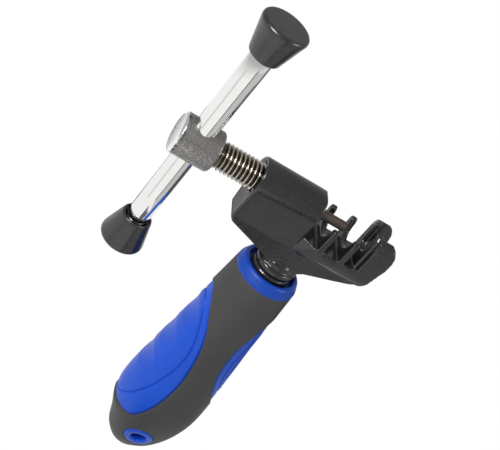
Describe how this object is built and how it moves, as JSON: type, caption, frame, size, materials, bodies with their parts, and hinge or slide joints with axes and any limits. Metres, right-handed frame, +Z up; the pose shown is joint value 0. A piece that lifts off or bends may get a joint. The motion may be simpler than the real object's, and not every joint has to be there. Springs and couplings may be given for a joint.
{
  "type": "bicycle chain tool",
  "caption": "Hand tool that drives a chain pin in or out: threaded screw with a sliding cross bar, slotted cradle with a grooved anvil, and an oval two-colour handle with a hanging hole.",
  "frame": {"origin": "middle of the hanging hole, on the handle's axis", "axes": "+Z up the handle towards the screw, +X along the drive screw towards the anvil, +Y away from the user along the hanging hole"},
  "size_m": [0.0833, 0.0298, 0.1812],
  "materials": {
    "casting": "semi-gloss black paint",
    "screw": "nickel plated, brushed",
    "pin": "dark heat-treated steel",
    "bar": "bright nickel plating",
    "caps": "glossy black plastic",
    "blue_plastic": "satin gloss",
    "blue_collar": "satin gloss",
    "blue_pads": "satin gloss",
    "grey_rubber": "fine matte moulded rubber"
  },
  "bodies": {
    "frame_and_handle": {"body_casting": "casting", "handle_core": "blue_plastic", "collar_ring": "blue_collar", "grip_pad_left": "blue_pads", "grip_pad_right": "blue_pads", "hang_eyelet": "blue_plastic", "grip_sleeve": "grey_rubber"},
    "pusher": {"pusher_pin": "pin"},
    "screw": {"drive_screw": "screw"},
    "bar": {"tommy_bar": "bar", "bar_cap_upper": "caps", "bar_cap_lower": "caps"}
  },
  "joints": [
    {"name": "screw_feed", "type": "slide", "parent": "frame_and_handle", "child": "pusher", "axis": [1, 0, 0], "range_m": [-0.01201, 0.01201]},
    {"name": "screw_turn", "type": "hinge", "parent": "pusher", "child": "screw", "pos_m": [-0.008, 0, 0.116], "axis": [1, 0, 0], "range_deg": [-2880, 2880]},
    {"name": "bar_slide", "type": "slide", "parent": "screw", "child": "bar", "axis": [0, -0.0924, 0.9957], "range_m": [-0.0285, 0.0285]}
  ],
  "couplings": [
    {"joint": "screw_feed", "follows": "screw_turn", "m_per_rad": 0.00023873}
  ]
}
